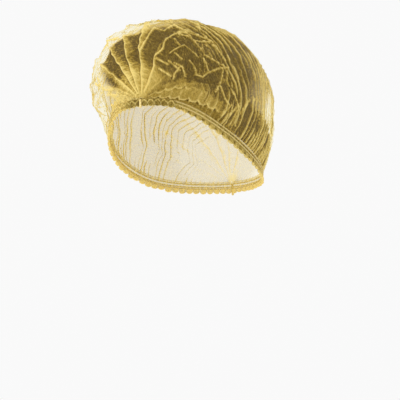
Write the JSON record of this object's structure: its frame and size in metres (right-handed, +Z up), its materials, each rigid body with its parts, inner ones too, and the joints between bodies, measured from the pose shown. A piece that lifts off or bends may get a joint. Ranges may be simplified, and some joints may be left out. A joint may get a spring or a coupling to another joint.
{
  "type": "stretch hair cap",
  "caption": "Disposable pleated hair cap of sheer non-woven cloth, gathered by two elastics into a scalloped edge and fused at the forehead and the nape",
  "frame": {"origin": "the middle of the head opening, half way from the forehead to the nape and half way up between them", "axes": "+Z up, the wearer faces -Y, and +X is the wearer's left; the forehead stands 68 mm above the nape"},
  "size_m": [0.1751, 0.2077, 0.1693],
  "materials": {
    "sheer_cloth": "sheer",
    "hem_cloth": "sheer, two plies",
    "frill_cloth": "sheer, gathered",
    "elastic": "matte",
    "fused_cloth": "fused"
  },
  "bodies": {
    "root": {"crown": "sheer_cloth", "hem_band": "hem_cloth", "edge_frill": "frill_cloth", "elastic_upper": "elastic", "elastic_lower": "elastic", "front_weld": "fused_cloth", "rear_weld": "fused_cloth"}
  },
  "joints": []
}
